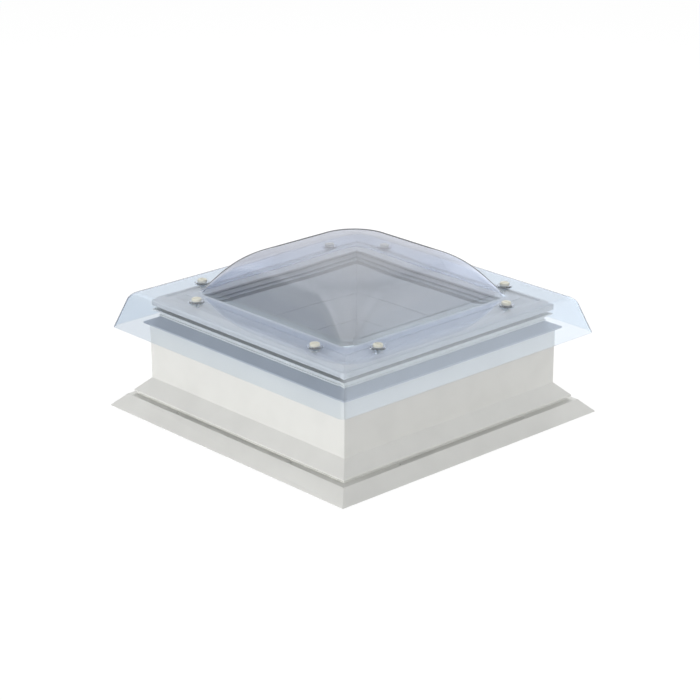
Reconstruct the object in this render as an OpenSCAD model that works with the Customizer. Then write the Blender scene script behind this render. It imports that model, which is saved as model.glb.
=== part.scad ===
// Flat-roof skylight: multi-chamber kerb with a sloped foot, hinged glazed sash,
// clear vacuum-formed weather dome and a telescopic opener on the front wall.
// Millimetres. Z is up, the front is -Y, the hinges are at the back (+Y).
// Profiles are drawn as [u, z]: u runs outward from the face of the clear opening.

/* [Opening] */
// Clear opening from left to right
opening_w = 600; // [500:10:1200]
// Clear opening from front to back
opening_d = 600; // [500:10:1200]

/* [Kerb] */
// Height of the kerb, roof deck to the top of its rail
kerb_h = 308; // [290:1:450]
// Thickness of the kerb wall
kerb_wall = 120; // [110:1:160]
// Thickness of the skins of the hollow profiles
skin = 3; // [2:0.25:3.5]
// Thickness of the kerb's top rail
rail_t = 8; // [7:0.5:12]
// Width and rise of the sloped foot
foot_w = 90; // [80:1:120]
// Thickness of the foot at its outer edge
foot_edge = 2; // [1:0.5:5]
// Height of the clamping groove's floor above the deck
groove_z = 39; // [32:1:44]
// Height of the clamping groove
groove_h = 9; // [6:0.5:11]
// Depth of the clamping groove behind its nose
groove_undercut = 11; // [6:0.5:14]
// Height of the groove's upright nose
groove_nose = 5; // [3:0.5:7]
// Height of the rib on the groove's floor
groove_rib = 2.5; // [1:0.5:4]
// Drop from the top of the rail to the wall's outer shoulder
shoulder_drop = 37; // [34:1:50]
// Width of the sloped shoulder
shoulder_w = 23; // [18:1:30]
// Rise of the sloped shoulder
shoulder_rise = 11; // [8:0.5:14]
// Overhang of the rail's outer lip
lip_out = 17; // [12:0.5:22]
// Thickness of the rail's outer lip
lip_t = 4.5; // [4:0.5:8]
// Overhang of the ledge that holds the drip collar down
ledge_out = 3; // [1.5:0.25:4]
// Height of that ledge
ledge_h = 4.5; // [2:0.25:6]
// Height of the lower lining groove in the inner face
lining_groove_low = 130; // [80:1:160]
// Height of the upper lining groove in the inner face
lining_groove_high = 219; // [180:1:230]
// Width of the lining grooves
lining_groove_w = 4; // [2:0.5:6]
// Depth of the lining grooves
lining_groove_depth = 1.5; // [0.5:0.25:1.5]
// Diameter of the fixing holes through the foot
fix_hole_d = 7; // [5:0.5:9]
// Distance of the fixing holes in from the corners of the opening
fix_inset = 50; // [20:5:120]

/* [Drip collar] */
// Overhang of the drip collar past the wall
collar_out = 14; // [8:1:20]
// Upright thickness of the collar's sheet
collar_t = 3; // [2:0.25:5]
// Drop of the collar's nose
collar_drip = 1.5; // [1:0.5:10]
// Length of the collar's tongue in the rail
collar_tongue = 5; // [3:0.5:6]

/* [Seals] */
// Gap between the kerb rail and the sash
seal_gap = 11; // [10:0.5:14]
// Middle of the outer seal, from the opening
outer_seal_u = 62; // [58:1:66]
// Middle of the inner seal, from the opening
inner_seal_u = 36; // [35:1:42]
// Width of the seals' retaining grooves
seal_groove_w = 8; // [6:0.5:9]
// Depth of the seals' retaining grooves
seal_groove_depth = 4; // [3:0.25:5]
// Wall of the hollow seal bulb
seal_wall = 1.8; // [1:0.1:2.5]

/* [Sash] */
// Overhang of the sash past the kerb rail
sash_over = 1; // [0:0.5:6]
// Height of the sash's outer face
sash_edge_h = 17; // [15:0.5:20]
// Height of the sash's outer ridge
sash_ridge_h = 27.4; // [26:0.2:32]
// Width of the chamfer from the outer face to the ridge
sash_chamfer_w = 20; // [16:1:22]
// Width of the ridge's flat
sash_ridge_w = 6; // [4:0.5:7]
// Width of the fixing channel's floor
channel_w = 20; // [18:0.5:22]
// Height of the fixing channel's floor above the sash's underside
channel_z = 22; // [20:0.5:24]
// Thickness of the sash's lip under the glass
sash_lip_t = 4; // [3.5:0.25:6]
// Gap between the edge of the glass and the rebate
edge_gap = 6; // [4:0.5:8]

/* [Glazing] */
// Cover of the glass over the sash's lip
glass_cover = 22; // [18:0.5:24]
// Thickness of each pane
pane_t = 4; // [3:0.5:6]
// Cavity between the panes
cavity = 12; // [10:0.5:16]
// Thickness of the glazing gaskets
gasket_t = 2; // [1.5:0.25:3]
// Setback of the bead's inner edge from the opening
bead_setback = 8; // [5:0.5:9]
// Thickness of the bead's lip over the glass
bead_lip = 5; // [4:0.25:6]
// Height of the bead above its seat
bead_h = 10; // [8.5:0.25:12]
// Width of the bead's seat
bead_seat = 18; // [15:0.5:20]
// Width of the open seam between the bead and the sash
seam_w = 3; // [1:0.25:4]
// Depth of that seam
seam_depth = 3; // [1:0.25:4]

/* [Dome] */
// Thickness of the dome's sheet
dome_t = 3; // [2:0.25:5]
// Clearance between the glazing bead and the dome's rim
dome_clear = 5; // [3:0.5:12]
// Overhang of the rim's flat past the sash
rim_over = 25; // [18:1:40]
// Radius of the bend from the rim to the skirt
rim_bend = 35; // [20:1:45]
// Drop of the skirt below the top of the rim
skirt_drop = 108; // [80:1:125]
// Lean of the skirt from upright
skirt_lean = 19.5; // [5:0.5:30]
// Overhang of the bulge's foot past the opening
bulge_out = 20; // [8:1:24]
// Rise of the bulge above the rim
bulge_rise = 128; // [90:1:200]
// Radius of the fillet at the bulge's foot
bulge_fillet = 16; // [8:1:20]
// Plan radius of the rim's corners
rim_corner = 16; // [10:1:30]
// Plan radius of the corners at the hem of the skirt
hem_corner = 20; // [16:1:60]

/* [Dome fixings] */
// Distance of the fixings in from the corners of the opening
dome_fix_inset = 45; // [20:1:120]
// Diameter of the fixing screws
dome_screw_d = 5; // [4:0.5:5.5]
// Length of the screw below the channel's floor
dome_screw_grip = 10; // [6:0.5:14]
// Diameter of the spacer sleeves
spacer_d = 16; // [14:0.5:18]
// Diameter of the clear washers
washer_d = 46; // [36:0.5:50]
// Thickness of the clear washers
washer_t = 4; // [2:0.25:6]
// Diameter of the caps
cap_d = 29; // [24:0.5:32]
// Height of the caps
cap_h = 8; // [8:0.5:18]

/* [Hinges] */
// Distance of the hinges in from the corners of the opening
hinge_inset = 80; // [50:5:160]
// Length of a hinge
hinge_l = 80; // [60:1:100]
// Depth of a hinge leaf's seat on the kerb wall
hinge_seat = 16; // [12:1:18]
// Thickness of a hinge leaf
hinge_leaf_t = 2.5; // [2:0.25:3]
// Diameter of the hinge pins
hinge_pin_d = 5; // [4:0.25:6]

/* [Opener] */
// Distance of the opener's axis from the front inner wall
opener_stand = 40; // [36:1:70]
// Depth of the opener's pivot below the top of the kerb
opener_drop = 58; // [56:1:68]
// Drop of the eye's pin below the sash
eye_drop = 16; // [15:0.5:20]
// Outer diameter of the opener's tube
tube_d = 28; // [24:1:32]
// Wall of the opener's tube
tube_wall = 2.5; // [1.5:0.25:3.5]
// Height of the tube's foot above the deck
tube_foot_h = 45; // [30:1:50]
// Length of the tube above its pivot
tube_above = 14; // [13:0.5:18]
// Diameter of the opener's rod
rod_d = 12; // [10:0.5:14]
// Diameter of the trunnions
trunnion_d = 10; // [8:0.5:12]
// Diameter of the eye's pin
eye_pin_d = 8; // [6:0.5:9]
// Play of the eye round its pin
eye_play = 1.9; // [1.6:0.1:2.2]
// Thickness of the opener's bracket plates
plate_t = 3; // [2:0.25:4]

/* [Hidden] */
$fn = 48;

// Sides are counted anticlockwise from the front
FRONT = 0;
RIGHT = 1;
BACK = 2;
LEFT = 3;
SIDES = [FRONT, RIGHT, BACK, LEFT];

// Clearances
running = 0.05;
fit = 0.1;
slip = 0.3;
past = 1;

// Colours
pvc_white = "#e9e9e4";
collar_grey = "#8d959d";
rubber_black = "#2b2d2f";
gasket_grey = "#c3c6c8";
clear_glass = "#b9cdd2";
clear_acrylic = "#c3d6e6";
cap_cream = "#e9e6d8";
steel = "#b8bcc0";
anodised = "#a9aeb3";
dark_nylon = "#3a3d40";

// Levels
sash_z = kerb_h + seal_gap;
inner_pane_z = sash_z + sash_lip_t + gasket_t;
cavity_z = inner_pane_z + pane_t;
outer_pane_z = cavity_z + cavity;
glass_top = outer_pane_z + pane_t;
bead_top = glass_top + gasket_t + bead_lip;
bead_seat_z = bead_top - bead_h;
rim_under = bead_top + dome_clear;
rim_top = rim_under + dome_t;
channel_floor = sash_z + channel_z;
shoulder_z = kerb_h - shoulder_drop;
collar_z = shoulder_z + shoulder_rise;
ledge_z = collar_z + collar_t;
opener_pivot_z = kerb_h - opener_drop;

// Distances out from the opening
riser_u = kerb_wall - shoulder_w;
rail_u = riser_u + lip_out;
sash_u = rail_u + sash_over;
rebate_u = glass_cover + edge_gap;
seat_u = rebate_u + bead_seat;
ridge_u = sash_u - sash_chamfer_w - sash_ridge_w;
channel_draft = 2;
channel_u = ridge_u - channel_draft - channel_w / 2;
rim_u = sash_u + rim_over;

// Past every corner of every profile
reach = kerb_wall + foot_w + past;

// Lies on the sloped face of the foot at height z
function foot_u(z) = kerb_wall + foot_w + foot_edge - z;
// The slope's skin, measured level
slope_skin = skin * sqrt(2);
groove_top = groove_z + groove_h;
nose_u = foot_u(groove_top + groove_nose);
groove_back_u = nose_u - groove_undercut;
fix_u = (groove_back_u + groove_rib + foot_u(groove_z)) / 2;

function half_along(side) = (side % 2 == 0 ? opening_w : opening_d) / 2;
function half_across(side) = (side % 2 == 0 ? opening_d : opening_w) / 2;

// Turns a feature drawn on the front side, from the front face of the opening, to its side
module on_side(side) {
    rotate([0, 0, 90 * side])
        translate([0, -half_across(side), 0])
            children();
}

// One length of a profile, cut at 45 degrees at both ends
module mitred_length(side) {
    half = half_along(side);
    on_side(side)
        intersection() {
            rotate([90, 0, -90])
                linear_extrude(height = 2 * (half + reach), center = true)
                    children();
            translate([0, 0, -past])
                linear_extrude(height = rim_top + 2 * past)
                    polygon([[-half, 0], [half, 0], [half + reach, -reach], [-half - reach, -reach]]);
        }
}

// Flat frame round the opening, from u0 to u1 and from z0 to z1
module flat_frame(u0, u1, z0, z1) {
    translate([0, 0, z0])
        difference() {
            plate(u1, z1 - z0);
            translate([0, 0, -past])
                plate(u0, z1 - z0 + 2 * past);
        }
}

// Plate that reaches u past the opening all round
module plate(u, t) {
    translate([-opening_w / 2 - u, -opening_d / 2 - u, 0])
        cube([opening_w + 2 * u, opening_d + 2 * u, t]);
}

// Rectangle in a profile between two corners
module area(u0, z0, u1, z1) {
    translate([u0, z0])
        square([u1 - u0, z1 - z0]);
}

// Screw with a raised head, its seat at the origin and its point down
module pan_screw(d, l) {
    translate([0, 0, -l])
        cylinder(d = d, h = l);
    difference() {
        cylinder(d = 2 * d, h = 0.6 * d);
        translate([0, 0, 0.3 * d])
            cylinder(d = 0.8 * d, h = d, $fn = 6);
    }
}

// Screw with a sunk head, flush at the origin and its point down
module sunk_screw(d, l) {
    head_h = d / 2;
    difference() {
        union() {
            translate([0, 0, -l])
                cylinder(d = d, h = l);
            translate([0, 0, -head_h])
                cylinder(d1 = d, d2 = 2 * d, h = head_h);
        }
        translate([0, 0, -0.3 * d])
            cylinder(d = 0.7 * d, h = d, $fn = 6);
    }
}

// Hole for that screw, through a leaf of thickness t whose face is at the origin
module sunk_hole(d, t) {
    translate([0, 0, -t - past])
        cylinder(d = d + 2 * fit, h = t + 2 * past);
    translate([0, 0, -d / 2 - fit])
        cylinder(d1 = d + 2 * fit, d2 = 2 * d + 4 * fit, h = d / 2 + 2 * fit);
}

/* Kerb */

module kerb_outline() {
    polygon([
        [0, 0],
        [kerb_wall + foot_w, 0],
        [kerb_wall + foot_w, foot_edge],
        [foot_u(groove_z), groove_z],
        [groove_back_u, groove_z],
        [groove_back_u, groove_top],
        [nose_u, groove_top],
        [nose_u, groove_top + groove_nose],
        [kerb_wall, foot_w + foot_edge],
        [kerb_wall, shoulder_z],
        [riser_u, collar_z],
        [riser_u, ledge_z],
        [riser_u + ledge_out, ledge_z],
        [riser_u + ledge_out, ledge_z + ledge_h],
        [riser_u, ledge_z + ledge_h],
        [riser_u, kerb_h - lip_t],
        [rail_u, kerb_h - lip_t],
        [rail_u, kerb_h],
        [0, kerb_h]
    ]);
    area(groove_back_u, groove_z, groove_back_u + groove_rib, groove_z + groove_rib);
}

main_chamber_top = shoulder_z - 3 * skin;
chamber_columns = 2;
chamber_rows = 3;
chamber_w = (kerb_wall - skin) / chamber_columns - skin;
chamber_h = (main_chamber_top - skin) / chamber_rows - skin;

// Chambers of the wall, with a web of the skin's thickness between them
module wall_chambers() {
    for (i = [0:chamber_columns - 1], j = [0:chamber_rows - 1])
        translate([skin + i * (chamber_w + skin), skin + j * (chamber_h + skin)])
            square([chamber_w, chamber_h]);
}

module foot_chamber() {
    polygon([
        [kerb_wall, skin],
        [foot_u(skin) - slope_skin, skin],
        [foot_u(groove_z - skin) - slope_skin, groove_z - skin],
        [groove_back_u - skin, groove_z - skin],
        [groove_back_u - skin, groove_top + skin],
        [foot_u(groove_top + skin) - slope_skin - groove_nose, groove_top + skin],
        [kerb_wall, groove_top + skin + foot_u(groove_top + skin) - slope_skin - groove_nose - kerb_wall]
    ]);
}

module kerb_section() {
    difference() {
        kerb_outline();
        wall_chambers();
        area(skin, main_chamber_top, riser_u - collar_tongue - 2 * skin, kerb_h - rail_t);
        foot_chamber();
        area(riser_u - collar_tongue - slip, collar_z, riser_u + past, collar_z + collar_t);
        for (u = [outer_seal_u, inner_seal_u])
            area(u - seal_groove_w / 2, kerb_h - seal_groove_depth, u + seal_groove_w / 2, kerb_h + past);
        for (z = [lining_groove_low, lining_groove_high])
            area(-past, z, lining_groove_depth, z + lining_groove_w);
    }
}

module kerb(side) {
    color(pvc_white)
        difference() {
            mitred_length(side)
                kerb_section();
            on_side(side)
                for (x = [-1, 1])
                    translate([x * (half_along(side) - fix_inset), -fix_u, -past])
                        cylinder(d = fix_hole_d, h = groove_z + 2 * past);
            if (side == BACK)
                at_hinge_screws()
                    translate([0, 0, kerb_h - hinge_screw_l])
                        cylinder(d = hinge_screw_d + 2 * fit, h = hinge_screw_l + past);
            if (side == FRONT)
                at_bracket_screws()
                    screw_way();
        }
}

/* Drip collar */

collar_slope = shoulder_rise / shoulder_w;
// Height of the collar's underside
function collar_under(u) = collar_z - (u - riser_u) * collar_slope;

module drip_collar(side) {
    tip_u = kerb_wall + collar_out;
    nose_in_u = tip_u - collar_t;
    color(collar_grey)
        mitred_length(side)
            union() {
                polygon([
                    [riser_u, collar_z],
                    [nose_in_u, collar_under(nose_in_u)],
                    [nose_in_u, collar_under(nose_in_u) - collar_drip],
                    [tip_u, collar_under(tip_u) - collar_drip],
                    [tip_u, collar_under(tip_u) + collar_t],
                    [riser_u, collar_z + collar_t]
                ]);
                area(riser_u - collar_tongue, collar_z + fit, riser_u + fit, collar_z + collar_t - fit);
            }
}

/* Weather seals */

seal_bulb_d = seal_gap - slip;

module weather_seal(u) {
    color(rubber_black)
        for (side = SIDES)
            mitred_length(side)
                difference() {
                    union() {
                        area(u - seal_groove_w / 2 + fit, kerb_h - seal_groove_depth,
                            u + seal_groove_w / 2 - fit, kerb_h + seal_wall);
                        translate([u, kerb_h + seal_bulb_d / 2])
                            circle(d = seal_bulb_d);
                    }
                    translate([u, kerb_h + seal_bulb_d / 2])
                        circle(d = seal_bulb_d - 2 * seal_wall);
                }
}

/* Sash */

clip_w = 3;
clip_depth = 5;
clip_u = rebate_u + bead_seat / 2;

module sash_section() {
    ridge_top = sash_z + sash_ridge_h;
    flank_u = ridge_u - channel_draft - channel_w;
    flank_slope = (bead_top - channel_floor) / (flank_u - seat_u);
    difference() {
        polygon([
            [0, sash_z],
            [sash_u, sash_z],
            [sash_u, sash_z + sash_edge_h],
            [sash_u - sash_chamfer_w, ridge_top],
            [ridge_u, ridge_top],
            [ridge_u - channel_draft, channel_floor],
            [flank_u, channel_floor],
            [seat_u + seam_w, bead_top - seam_w * flank_slope],
            [seat_u, bead_top - seam_depth],
            [seat_u, bead_seat_z],
            [rebate_u, bead_seat_z],
            [rebate_u, sash_z + sash_lip_t],
            [0, sash_z + sash_lip_t]
        ]);
        area(clip_u - clip_w / 2 - fit, bead_seat_z - clip_depth - fit,
            clip_u + clip_w / 2 + fit, bead_seat_z + past);
        area(rebate_u + skin, sash_z + skin, seat_u + skin, bead_seat_z - clip_depth - skin);
        area(seat_u + 2 * skin, sash_z + skin, sash_u - skin, sash_z + sash_edge_h - skin);
    }
}

module sash(side) {
    color(pvc_white)
        difference() {
            mitred_length(side)
                sash_section();
            on_side(side)
                at_dome_fixings(side)
                    translate([0, 0, sash_z + skin + past])
                        cylinder(d = dome_screw_d + 2 * fit, h = channel_z);
            if (side == BACK)
                at_hinge_screws()
                    translate([0, 0, sash_z - past])
                        cylinder(d = hinge_screw_d + 2 * fit, h = hinge_screw_l + past);
            if (side == FRONT)
                at_sash_bracket_screws()
                    translate([0, 0, -past])
                        cylinder(d = bracket_screw_d + 2 * fit, h = lip_screw_depth + past);
        }
}

/* Glazing */

module glazing_bead(side) {
    color(pvc_white)
        mitred_length(side)
            polygon([
                [bead_setback, bead_top - bead_lip],
                [bead_setback, bead_top - bead_lip / 3],
                [bead_setback + bead_lip / 2, bead_top],
                [seat_u - fit, bead_top],
                [seat_u - fit, bead_seat_z],
                [clip_u + clip_w / 2, bead_seat_z],
                [clip_u + clip_w / 2, bead_seat_z - clip_depth],
                [clip_u - clip_w / 2, bead_seat_z - clip_depth],
                [clip_u - clip_w / 2, bead_seat_z],
                [rebate_u + fit, bead_seat_z],
                [rebate_u + fit, bead_top - bead_lip]
            ]);
}

module pane(z) {
    color(clear_glass, 0.4)
        translate([0, 0, z])
            plate(glass_cover, pane_t);
}

spacer_w = 7;
spacer_u = bead_setback + 1;

module spacer_bar() {
    color(anodised)
        flat_frame(spacer_u, spacer_u + spacer_w, cavity_z, outer_pane_z);
}

module edge_seal() {
    color(gasket_grey)
        flat_frame(spacer_u + spacer_w, glass_cover, cavity_z, outer_pane_z);
}

block_l = 60;
block_inset = 90;

module edge_blocks() {
    color(dark_nylon)
        for (side = SIDES)
            on_side(side)
                for (x = [-1, 1])
                    translate([x * (half_along(side) - block_inset) - block_l / 2, -rebate_u, inner_pane_z])
                        cube([block_l, edge_gap, glass_top - inner_pane_z]);
}

module lower_gasket() {
    color(gasket_grey)
        flat_frame(past, glass_cover, sash_z + sash_lip_t, inner_pane_z);
}

module upper_gasket() {
    color(gasket_grey)
        flat_frame(bead_setback + past, glass_cover, glass_top, glass_top + gasket_t);
}

/* Dome */

corner_steps = 8;
bend_steps = 6;
fillet_steps = 5;
bulge_steps = 16;
// Exponents of the blown bulge's profile: how full its crown is, and how fast its walls rise
bulge_crown_power = 5.4;
bulge_wall_power = 0.64;
// Share of the half-width that the plan corners take at the crown, and how they grow on the way up
bulge_corner_crown = 0.54;
bulge_corner_power = 0.62;

// A station of the dome: reach in X and Y, height, plan corner radius, and the outer face's normal
function rim_station(u, z, corner, lean) =
    [opening_w / 2 + u, opening_d / 2 + u, z, corner, cos(lean), sin(lean)];

skirt_turn = 90 - skirt_lean;
bend_end_u = rim_u + rim_bend * sin(skirt_turn);
bend_end_z = rim_top - rim_bend * (1 - cos(skirt_turn));
hem_z = rim_top - skirt_drop;
hem_u = bend_end_u + (bend_end_z - hem_z) * tan(skirt_lean);

function skirt_corner(u) = rim_corner + (hem_corner - rim_corner) * (u - rim_u) / (hem_u - rim_u);

bulge_half = min(opening_w, opening_d) / 2 + bulge_out;
// Rise of the bulge over the rim at a share of its half-width, and the share at a rise
function bulge_rise_at(share) = pow(1 - pow(share, bulge_crown_power), bulge_wall_power);
function bulge_share_at(rise) = pow(1 - pow(rise, 1 / bulge_wall_power), 1 / bulge_crown_power);
// Slope of the bulge's mid-side profile from level
function bulge_slope(share) =
    atan(
        bulge_rise / bulge_half * bulge_wall_power * bulge_crown_power * pow(share, bulge_crown_power - 1)
        * pow(1 - pow(share, bulge_crown_power), bulge_wall_power - 1)
    );

function bulge_station(share) =
    let (
        rise = bulge_rise_at(share),
        slope = bulge_slope(share)
    )
    [
        (opening_w / 2 + bulge_out) * share,
        (opening_d / 2 + bulge_out) * share,
        rim_top + bulge_rise * rise,
        bulge_half * share * bulge_corner_crown * pow(rise, bulge_corner_power),
        sin(slope),
        cos(slope)
    ];

// The fillet takes over where its arc meets the bulge's wall
fillet_turn = bulge_slope(bulge_share_at(bulge_fillet / bulge_rise));
foot_share = bulge_share_at(bulge_fillet * (1 - cos(fillet_turn)) / bulge_rise);
bulge_foot = bulge_station(foot_share);

function fillet_station(turn) =
    let (out = bulge_fillet * (sin(fillet_turn) - sin(turn)))
    [
        bulge_foot[0] + out,
        bulge_foot[1] + out,
        rim_top + bulge_fillet * (1 - cos(turn)),
        bulge_foot[3],
        sin(turn),
        cos(turn)
    ];

// Stations from the crown out and down to the hem
stations = [
    for (i = [1:bulge_steps])
        bulge_station(foot_share * sin(90 * i / bulge_steps)),
    for (i = [1:fillet_steps])
        fillet_station(fillet_turn * (1 - i / fillet_steps)),
    for (i = [0:bend_steps])
        let (turn = skirt_turn * i / bend_steps)
        rim_station(
            rim_u + rim_bend * sin(turn),
            rim_top - rim_bend * (1 - cos(turn)),
            skirt_corner(rim_u + rim_bend * sin(turn)),
            90 - turn
        ),
    rim_station(hem_u, hem_z, hem_corner, skirt_lean)
];

// A station's outline, set in by a depth square to the outer face
function station_ring(s, depth) =
    let (
        in = depth * s[4],
        z = s[2] - depth * s[5],
        half_w = s[0] - in,
        half_d = s[1] - in,
        corner = max(s[3] - in, s[3] / 2)
    )
    [
        for (quarter = [0:3], i = [0:corner_steps])
            let (
                a = 90 * (quarter + i / corner_steps),
                sx = quarter == 0 || quarter == 3 ? 1 : -1,
                sy = quarter < 2 ? 1 : -1
            )
            [sx * (half_w - corner) + corner * cos(a), sy * (half_d - corner) + corner * sin(a), z]
    ];

module dome_shell() {
    last = len(stations) - 1;
    rings = [
        for (s = stations) station_ring(s, 0),
        for (i = [last:-1:0]) station_ring(stations[i], dome_t)
    ];
    n = 4 * (corner_steps + 1);
    points = [for (ring = rings, p = ring) p];
    bands = [
        for (r = [0:len(rings) - 2], i = [0:n - 1])
            let (a = r * n + i, b = r * n + (i + 1) % n)
            each [[a, b, a + n], [b, b + n, a + n]]
    ];
    top_cap = [for (i = [n - 1:-1:0]) i];
    under_cap = [for (i = [0:n - 1]) (len(rings) - 1) * n + i];
    polyhedron(points = points, faces = concat(bands, [top_cap, under_cap]), convexity = 6);
}

// Places the fixings of one side, seen from that side's face of the opening
module at_dome_fixings(side) {
    for (x = [-1, 1])
        translate([x * (half_along(side) - dome_fix_inset), -channel_u, 0])
            children();
}

module at_all_dome_fixings() {
    for (side = SIDES)
        on_side(side)
            at_dome_fixings(side)
                children();
}

module dome() {
    color(clear_acrylic, 0.4)
        difference() {
            dome_shell();
            at_all_dome_fixings()
                translate([0, 0, rim_under - past])
                    cylinder(d = dome_screw_d + 1, h = dome_t + 2 * past);
        }
}

module dome_spacers() {
    color(clear_acrylic, 0.5)
        at_all_dome_fixings()
            translate([0, 0, channel_floor])
                difference() {
                    cylinder(d = spacer_d, h = rim_under - channel_floor);
                    translate([0, 0, -past])
                        cylinder(d = dome_screw_d + 1, h = rim_under - channel_floor + 2 * past);
                }
}

washer_rim = 3;

module dome_washers() {
    color(clear_acrylic, 0.5)
        at_all_dome_fixings()
            translate([0, 0, rim_top])
                rotate_extrude()
                    polygon([
                        [dome_screw_d / 2 + 0.5, 0],
                        [washer_d / 2, 0],
                        [washer_d / 2, washer_t / 2],
                        [washer_d / 2 - washer_rim, washer_t],
                        [dome_screw_d / 2 + 0.5, washer_t]
                    ]);
}

screw_seat_z = rim_top + washer_t;

module dome_screws() {
    color(steel)
        at_all_dome_fixings()
            translate([0, 0, screw_seat_z])
                pan_screw(dome_screw_d, screw_seat_z - channel_floor + dome_screw_grip);
}

module dome_caps() {
    cap_wall = 2.5;
    slot_w = 3;
    slot_depth = 2;
    color(cap_cream)
        at_all_dome_fixings()
            translate([0, 0, screw_seat_z])
                difference() {
                    rotate_extrude()
                        polygon([
                            [dome_screw_d + fit, 0],
                            [cap_d / 2, 0],
                            [cap_d / 2, cap_h - cap_wall],
                            [cap_d / 2 - cap_wall, cap_h],
                            [0, cap_h],
                            [0, cap_h - cap_wall - slot_depth],
                            [dome_screw_d + fit, cap_h - cap_wall - slot_depth]
                        ]);
                    translate([-slot_w / 2, -cap_d / 2, cap_h - slot_depth])
                        cube([slot_w, cap_d, slot_depth + past]);
                }
}

/* Hinges */

knuckle_r = seal_gap / 2;
knuckle_gap = 0.5;
hinge_y = opening_d / 2 + sash_u + knuckle_r + knuckle_gap;
hinge_z = kerb_h + knuckle_r;
hinge_x = opening_w / 2 - hinge_inset;
leaf_y = hinge_y - knuckle_r - past;
lip_cover = lip_out + sash_over;
hinge_leaf = lip_cover + hinge_seat;
hinge_screw_d = 4;
hinge_screw_l = 6;
middle_knuckle_l = hinge_l / 3;
outer_knuckle_l = (hinge_l - middle_knuckle_l) / 2 - knuckle_gap;

module at_hinge_screws() {
    for (hx = [-1, 1], x = [-1, 1])
        translate([hx * hinge_x + x * hinge_l / 3, leaf_y - lip_cover - 0.4 * hinge_seat, 0])
            children();
}

// One knuckle from x0, with the tongue that joins it to its leaf
module knuckle(x0, l, leaf_z) {
    difference() {
        union() {
            translate([x0, hinge_y, hinge_z])
                rotate([0, 90, 0])
                    cylinder(r = knuckle_r, h = l);
            translate([x0, leaf_y - past, leaf_z])
                cube([l, hinge_y - leaf_y + past, hinge_leaf_t]);
        }
        translate([x0 - past, hinge_y, hinge_z])
            rotate([0, 90, 0])
                cylinder(d = hinge_pin_d + 2 * running, h = l + 2 * past);
    }
}

module leaf_plate(z) {
    translate([-hinge_l / 2, leaf_y - hinge_leaf, z])
        cube([hinge_l, hinge_leaf, hinge_leaf_t]);
}

module hinge_kerb_leaf(hand) {
    color(steel)
        difference() {
            translate([hand * hinge_x, 0, 0])
                union() {
                    leaf_plate(kerb_h);
                    for (x0 = [-hinge_l / 2, hinge_l / 2 - outer_knuckle_l])
                        knuckle(x0, outer_knuckle_l, kerb_h);
                }
            at_hinge_screws()
                translate([0, 0, kerb_h + hinge_leaf_t])
                    sunk_hole(hinge_screw_d, hinge_leaf_t);
        }
}

module hinge_sash_leaf(hand) {
    color(steel)
        difference() {
            translate([hand * hinge_x, 0, 0])
                union() {
                    leaf_plate(sash_z - hinge_leaf_t);
                    knuckle(-middle_knuckle_l / 2, middle_knuckle_l, sash_z - hinge_leaf_t);
                }
            at_hinge_screws()
                translate([0, 0, sash_z - hinge_leaf_t])
                    mirror([0, 0, 1])
                        sunk_hole(hinge_screw_d, hinge_leaf_t);
        }
}

module hinge_pin(hand) {
    head_h = 2;
    color(steel)
        translate([hand * hinge_x, hinge_y, hinge_z])
            rotate([0, 90, 0])
                union() {
                    cylinder(d = hinge_pin_d, h = hinge_l + 2 * fit, center = true);
                    for (end = [0, 1])
                        mirror([0, 0, end])
                            translate([0, 0, hinge_l / 2 + fit])
                                cylinder(d = hinge_pin_d + 3, h = head_h);
                }
}

module hinge_kerb_screws() {
    color(steel)
        at_hinge_screws()
            translate([0, 0, kerb_h + hinge_leaf_t])
                sunk_screw(hinge_screw_d, hinge_leaf_t + hinge_screw_l - slip);
}

module hinge_sash_screws() {
    color(steel)
        at_hinge_screws()
            translate([0, 0, sash_z - hinge_leaf_t])
                mirror([0, 0, 1])
                    sunk_screw(hinge_screw_d, hinge_leaf_t + hinge_screw_l - slip);
}

/* Opener */

opener_y = -opening_d / 2 + opener_stand;
eye_z = sash_z - eye_drop;
collar_d = tube_d + 12;
collar_h = 24;
arm_gap = 3;
arm_x = collar_d / 2 + arm_gap;
arm_t = 4;
bracket_screw_d = 4;
bracket_screw_l = 14;
bracket_screw_x = arm_x + arm_t + bracket_screw_d + past;
bracket_half_w = bracket_screw_x + bracket_screw_d + past;
bracket_half_h = 25;
bracket_screw_z = bracket_half_h - 2 * bracket_screw_d;

// Frame of the bracket's plate: out of the wall is up
module at_bracket_screws() {
    for (x = [-1, 1], z = [-1, 1])
        translate([x * bracket_screw_x, -opening_d / 2, opener_pivot_z + z * bracket_screw_z])
            rotate([-90, 0, 0])
                children();
}

module screw_way() {
    translate([0, 0, -bracket_screw_l])
        cylinder(d = bracket_screw_d + 2 * fit, h = bracket_screw_l + past);
}

module at_pivot() {
    translate([0, opener_y, opener_pivot_z])
        rotate([0, 90, 0])
            children();
}

module opener_wall_bracket() {
    arm_r = collar_h / 2;
    color(steel)
        difference() {
            union() {
                translate([-bracket_half_w, -opening_d / 2, opener_pivot_z - bracket_half_h])
                    cube([2 * bracket_half_w, plate_t, 2 * bracket_half_h]);
                for (x0 = [arm_x, -arm_x - arm_t])
                    translate([x0, 0, 0]) {
                        translate([0, -opening_d / 2, opener_pivot_z - arm_r])
                            cube([arm_t, opener_stand, 2 * arm_r]);
                        at_pivot()
                            cylinder(r = arm_r, h = arm_t);
                    }
            }
            at_pivot()
                cylinder(d = trunnion_d + 2 * running, h = 2 * (arm_x + arm_t + past), center = true);
            at_bracket_screws()
                cylinder(d = bracket_screw_d + 2 * fit, h = 4 * plate_t, center = true);
        }
}

module opener_bracket_screws() {
    color(steel)
        at_bracket_screws()
            translate([0, 0, plate_t])
                pan_screw(bracket_screw_d, plate_t + bracket_screw_l - past);
}

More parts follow.
